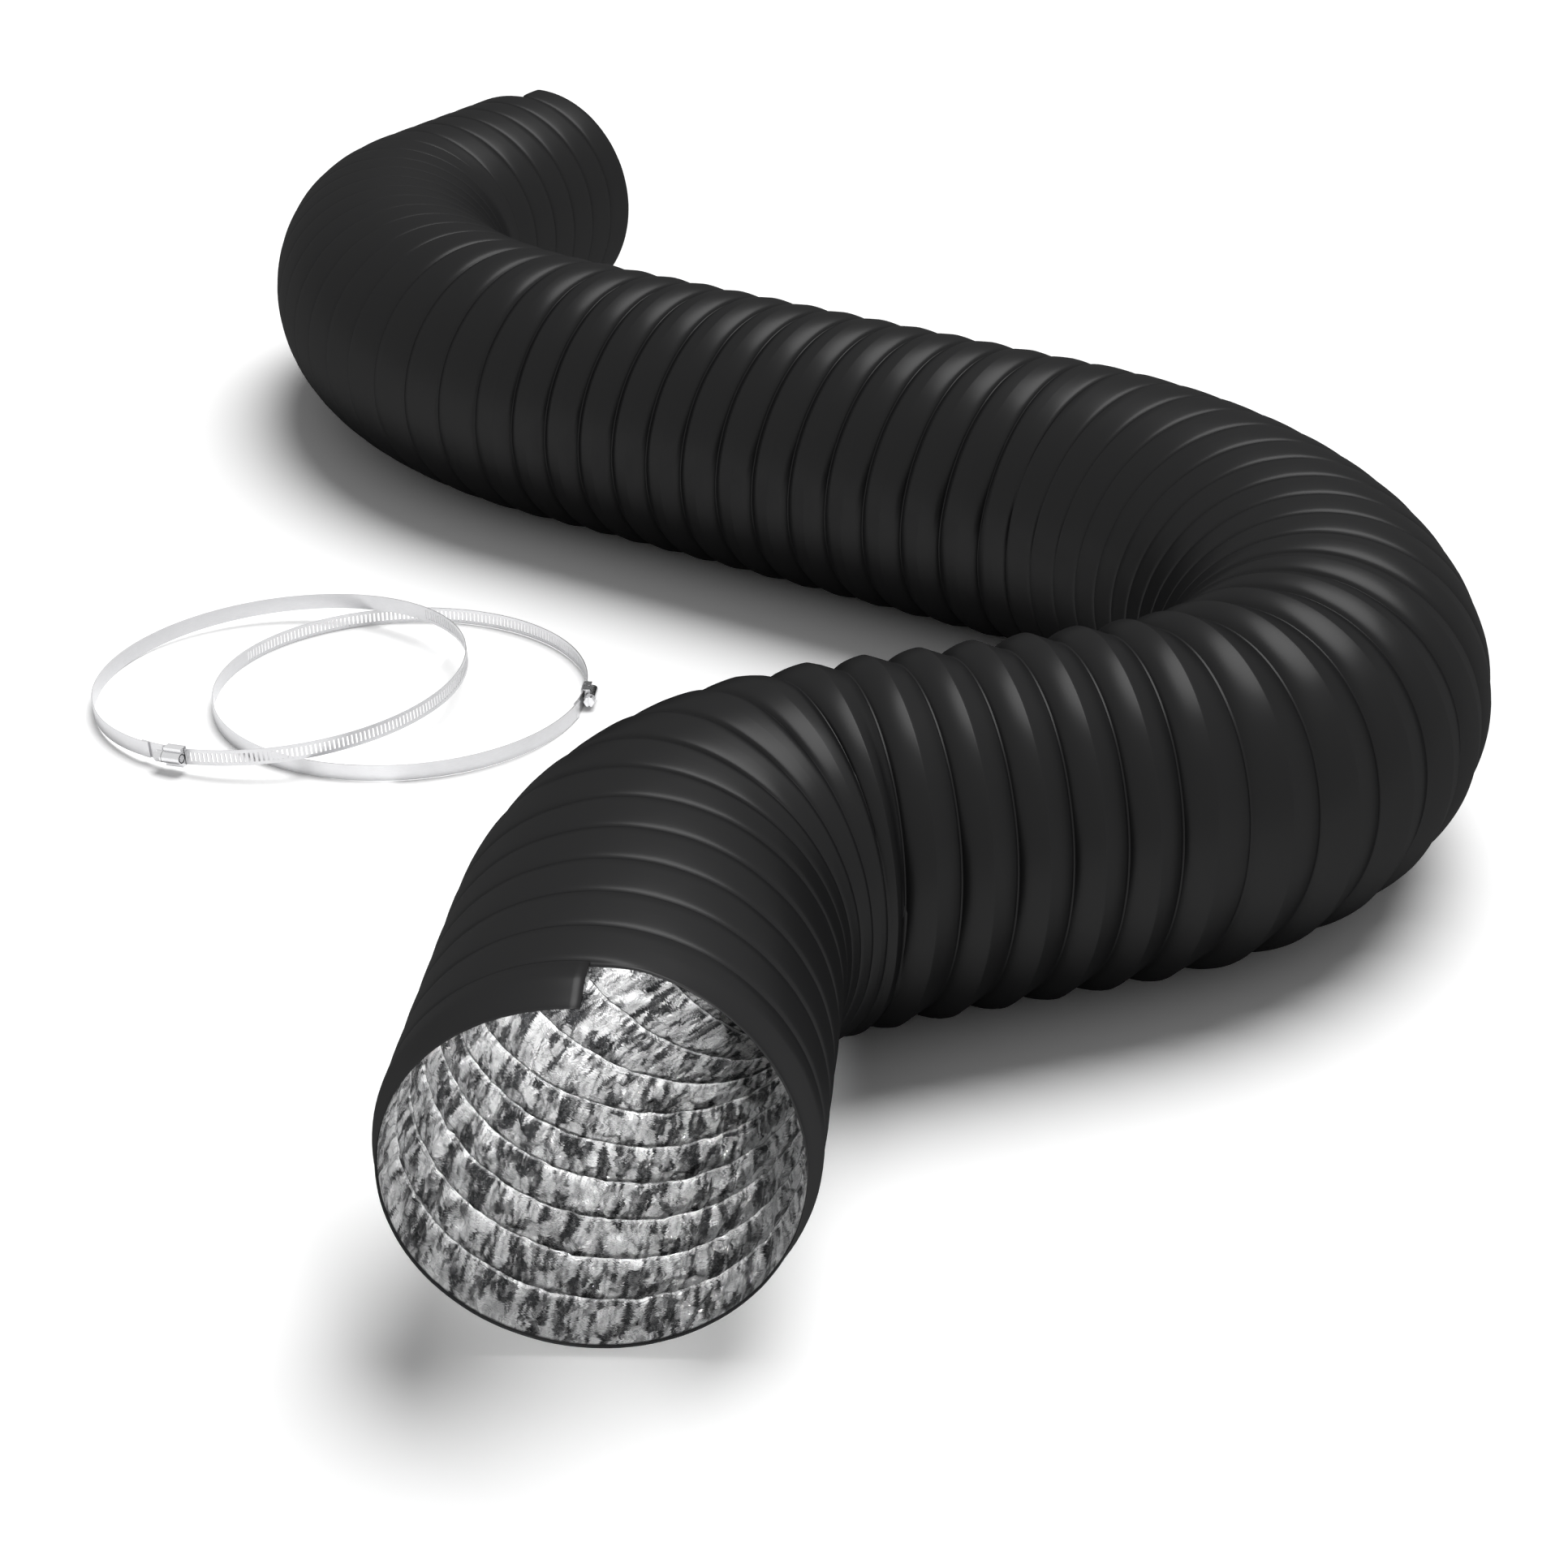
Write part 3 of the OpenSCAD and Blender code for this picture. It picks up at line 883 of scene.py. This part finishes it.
    def jacket_radius(self, along: float, angle: float, across: float, depth: float, inset: float) -> float:
        """Radius of a point of the jacket.

        Args:
            along: its station.
            angle: its angle round the tube.
            across: its place across the strip.
            depth: its depth below the crest in the drawn section; not used.
            inset: its distance below the skin.

        Returns:
            The radius in millimetres.
        """
        local = self.squeeze(along, angle)
        folded = 0.3 + 0.7 * smooth(local, 0.25, 0.9)
        taut = 0.03 + 0.97 * smooth(local, 0.58, 0.97)
        late = smooth(along, 480.0, 560.0)
        held = folded + (taut - folded) * late
        flat = self.flatness.at(along)
        rib = self.tent.at(across) * (1.0 - flat) + self.band.at(across) * flat
        under = smooth(along / self.helix.pitch - across, 0.96, 1.0)
        side = 1.0 if across > 0.5 else 0.3 + 0.7 * under
        deep = self.rib_depth * rib * self.fullness.at(along) * held * side
        pressed = 0.05 + 0.95 * smooth(local, 0.52, 0.85)
        lap = self.lap * self.tucked.at(across) * self.lapping.at(along) * pressed * under
        spot = Vector((along / 60.0, math.cos(angle) * 2.2, math.sin(angle) * 2.2))
        slack = 0.3 * noise.noise(spot) * smooth(deep, 0.2, 2.5) + 0.1 * noise.noise(spot * 4.0)
        return self.helix.crest - 0.1 - deep - lap - inset - slack - self.drawn_in(along, across)

    def jacket(self, stretch: Stretch, material: bpy.types.Material) -> None:
        """Wind the ribbed film of a stretch.

        Args:
            stretch: the stretch.
            material: its finish.
        """
        bm = bmesh.new()
        self.helix.section(bm, self.jacket_section(), self.helix.pitch, self.helix.crest, True)
        self.helix.wind(bm, stretch, self.rib_steps, True)
        self.helix.settle(bm, self.jacket_radius, 0.0)
        self.attach(self.object_from(bm, f"film_{stretch.name}", material), stretch,
                    f"{stretch.name}_jacket")

    def wire(self, stretch: Stretch, material: bpy.types.Material) -> None:
        """Wind the spring wire of a stretch.

        Args:
            stretch: the stretch.
            material: its finish.
        """
        bm = bmesh.new()
        crest = self.helix.crest
        points = [(0.46 + self.wire_radius * math.cos(turn) / self.helix.pitch,
                   crest - self.wire_path - self.wire_radius * math.sin(turn), 0.0, 0.0)
                  for turn in (k * math.pi / 4 for k in range(8))]
        self.helix.section(bm, points, self.helix.pitch, crest, True)
        self.helix.wind(bm, stretch, 60, True)
        self.helix.settle(bm, lambda along, angle, across, depth, inset: crest - depth - inset)
        self.attach(self.object_from(bm, f"wire_{stretch.name}", material), stretch,
                    f"{stretch.name}_wire")

    def crumple(self, along: float, angle: float) -> float:
        """Relief of the crumpled foil, as flat facets with soft borders.

        Args:
            along: the station.
            angle: angle round the tube.

        Returns:
            The relief in millimetres.
        """
        total = 0.0
        for size, height in ((8.5, 5.2), (3.6, 1.9)):
            left = math.cos(angle) * self.fold_radius / size
            up = math.sin(angle) * self.fold_radius / size
            spot = Vector((along / (size * 1.5), left, up))
            gaps, cells = noise.voronoi(spot)
            weight_sum, value = 0.0, 0.0
            for gap, cell in zip(gaps[:3], cells[:3]):
                weight = math.exp(-14.0 * (gap - gaps[0]))
                tilt = noise.noise_vector(cell * 7.3)
                value += weight * (spot - cell).dot(tilt)
                weight_sum += weight
            total += height * value / weight_sum
        fold = Vector((along / 30.0, math.cos(angle) * 15.0, math.sin(angle) * 15.0))
        return total * 0.8 + 1.5 * noise.noise(fold)

    def foil_radius(self, along: float, angle: float, across: float, depth: float, inset: float) -> float:
        """Radius of a point of the foil, with the arguments of jacket_radius."""
        puff = self.foil_puff * math.sin(math.pi * across) ** 0.6 if 0.0 < across < 1.0 else 0.0
        bulge = math.sin(math.pi * min(max(across, 0.0), 1.0)) ** 0.5
        fold = self.crumple(along, angle) * (0.35 + 0.65 * bulge)
        film = self.jacket_radius(along, angle, across, depth, self.film_wall)
        under_wire = self.wire_path - self.wire_radius - 0.05
        radius = min(self.foil_seam + puff + fold - inset, under_wire, film - 0.5)
        return radius + (film - 0.15 - radius) * (1.0 - smooth(self.to_rim(along, angle), 0.0, 7.0))

    def to_rim(self, along: float, angle: float) -> float:
        """Distance along the duct to the stepped rim of the nearer mouth.

        Args:
            along: the point's station.
            angle: its angle round the tube.

        Returns:
            The distance in millimetres.
        """
        lead = (math.pi / 2 - angle) % (2 * math.pi) / (2 * math.pi) * self.helix.pitch
        if along < self.helix.route.length / 2:
            return along - lead
        return self.helix.route.length - self.helix.pitch + lead - along

    def foil(self, stretch: Stretch, material: bpy.types.Material, steps: int, rows: int) -> None:
        """Wind the foil of a stretch.

        Args:
            stretch: the stretch.
            material: its finish.
            steps: steps to a turn.
            rows: points across the strip.
        """
        bm = bmesh.new()
        insets = [0.45] + [0.0] * (rows - 1) + [0.3]
        depth = self.helix.crest - self.foil_seam
        points = [(k / rows, depth, inset, 0.0) for k, inset in enumerate(insets)]
        self.helix.section(bm, points, self.helix.pitch, self.helix.crest, False)
        self.helix.wind(bm, stretch, steps, False)
        self.helix.settle(bm, self.foil_radius)
        self.attach(self.object_from(bm, f"foil_{stretch.name}", material), stretch,
                    f"{stretch.name}_liner")

    @staticmethod
    def object_from(bm: bmesh.types.BMesh, name: str, material: bpy.types.Material) -> bpy.types.Object:
        """Turn a finished bmesh into an object of the scene.

        Args:
            bm: the mesh, which is freed.
            name: the object's name.
            material: its finish.

        Returns:
            The object.
        """
        for face in bm.faces:
            face.smooth = True
        mesh = bpy.data.meshes.new(name)
        bm.to_mesh(mesh)
        bm.free()
        mesh.materials.append(material)
        made = bpy.data.objects.new(name, mesh)
        bpy.context.scene.collection.objects.link(made)
        return made

    def build(self) -> None:
        """Wind every stretch and dress it."""
        noise.seed_set(self.seed)
        film, foil, wire = FilmFinish().make(), FoilFinish().make(), WireFinish().make()
        for stretch in self.stretches():
            seen = stretch.name in ("front", "bend_a", "rear")
            self.jacket(stretch, film)
            self.wire(stretch, wire)
            self.foil(stretch, foil, *((320, 20) if seen else (120, 6)))


# ---------------------------------------------------------------- clamps


@dataclass
class Clamps:
    """The two band clamps: packed bands, housings, saddles and screws in steel."""

    names: tuple[str, ...] = ("clamp_1", "clamp_2")

    def build(self) -> None:
        """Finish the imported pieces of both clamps."""
        band = SteelFinish("rolled_band", (0.66, 0.66, 0.67), (0.5, 0.5, 0.51), 0.24,
                           (300.0, 300.0, 2600.0)).make()
        plated = SteelFinish("plated_screw", (0.72, 0.72, 0.73), (0.6, 0.6, 0.61), 0.14,
                             (700.0, 700.0, 700.0)).make()
        for clamp in self.names:
            for part, material in (("band", band), ("housing", plated), ("saddle", band), ("screw", plated)):
                packed = bpy.data.objects[f"{clamp}_{part}"]
                for slot in packed.material_slots:
                    slot.material = material
                LOG.info("%s finished in %s", packed.name, material.name)


# ---------------------------------------------------------------- studio


@dataclass
class Studio:
    """Floor, lamps, world and camera."""

    eye: tuple[float, float, float] = (0.91696, -1.15308, 0.66995)
    tilt: tuple[float, float, float] = (62.888, 0.0, 33.936)
    lens: float = 63.92

    def camera(self) -> None:
        """Put up the camera."""
        data = bpy.data.cameras.new("view")
        data.lens = self.lens
        data.sensor_width = 36.0
        data.clip_end = 100.0
        made = bpy.data.objects.new("view", data)
        made.location = self.eye
        made.rotation_euler = tuple(math.radians(value) for value in self.tilt)
        bpy.context.scene.collection.objects.link(made)
        bpy.context.scene.camera = made

    def floor(self) -> None:
        """Lay the paper."""
        bm = bmesh.new()
        bmesh.ops.create_grid(bm, x_segments=1, y_segments=1, size=30.0)
        mesh = bpy.data.meshes.new("paper")
        bm.to_mesh(mesh)
        bm.free()
        mesh.materials.append(FloorFinish().make())
        made = bpy.data.objects.new("paper", mesh)
        bpy.context.scene.collection.objects.link(made)

    def lamp(self, name: str, kind: str, place: tuple[float, float, float], aim: tuple[float, float, float],
             power: float, **settings: object) -> None:
        """Hang a soft lamp.

        Args:
            name: its name.
            kind: Blender's type of lamp.
            place: where it hangs.
            aim: the point that it faces.
            power: its strength.
            settings: the size or angle of the lamp.
        """
        data = bpy.data.lights.new(name, kind)
        data.energy = power
        for key, value in settings.items():
            setattr(data, key, value)
        made = bpy.data.objects.new(name, data)
        made.location = place
        made.rotation_euler = (Vector(aim) - Vector(place)).to_track_quat("-Z", "Y").to_euler()
        bpy.context.scene.collection.objects.link(made)

    def world(self) -> None:
        """Surround the set with plain white for the eye and for reflections."""
        world = bpy.data.worlds.new("studio")
        world.use_nodes = True
        tree = world.node_tree
        tree.nodes.clear()
        path = tree.nodes.new("ShaderNodeLightPath")
        first = tree.nodes.new("ShaderNodeMath")
        first.operation = "ADD"
        second = tree.nodes.new("ShaderNodeMath")
        second.operation = "ADD"
        second.use_clamp = True
        tree.links.new(path.outputs["Is Camera Ray"], first.inputs[0])
        tree.links.new(path.outputs["Is Glossy Ray"], first.inputs[1])
        tree.links.new(first.outputs[0], second.inputs[0])
        tree.links.new(path.outputs["Is Transmission Ray"], second.inputs[1])
        mix = tree.nodes.new("ShaderNodeMix")
        mix.data_type = "RGBA"
        mix.inputs[6].default_value = (0.22, 0.22, 0.22, 1.0)
        mix.inputs[7].default_value = (1.0, 1.0, 1.0, 1.0)
        tree.links.new(second.outputs[0], mix.inputs[0])
        back = tree.nodes.new("ShaderNodeBackground")
        tree.links.new(mix.outputs[2], back.inputs["Color"])
        out = tree.nodes.new("ShaderNodeOutputWorld")
        tree.links.new(back.outputs[0], out.inputs["Surface"])
        bpy.context.scene.world = world

    def build(self) -> None:
        """Set the stage."""
        self.camera()
        self.floor()
        self.world()
        self.lamp("key", "SUN", (-0.02, 1.2, 2.7), (0.0, 0.0, 0.0), 3.1, angle=math.radians(44.0))
        self.lamp("mouth", "SPOT", (2.15, -2.3, 0.95), (0.395, -0.485, 0.09), 930.0, shadow_soft_size=0.06,
                  spot_size=math.radians(3.2), spot_blend=0.35)
        bpy.context.scene.view_settings.view_transform = "Standard"


def main() -> None:
    """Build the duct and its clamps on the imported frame."""
    logging.basicConfig(level=logging.INFO, format="%(name)s: %(message)s")
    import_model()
    Studio().build()
    Duct(Helix(Route())).build()
    Clamps().build()


if __name__ == "__main__":
    main()
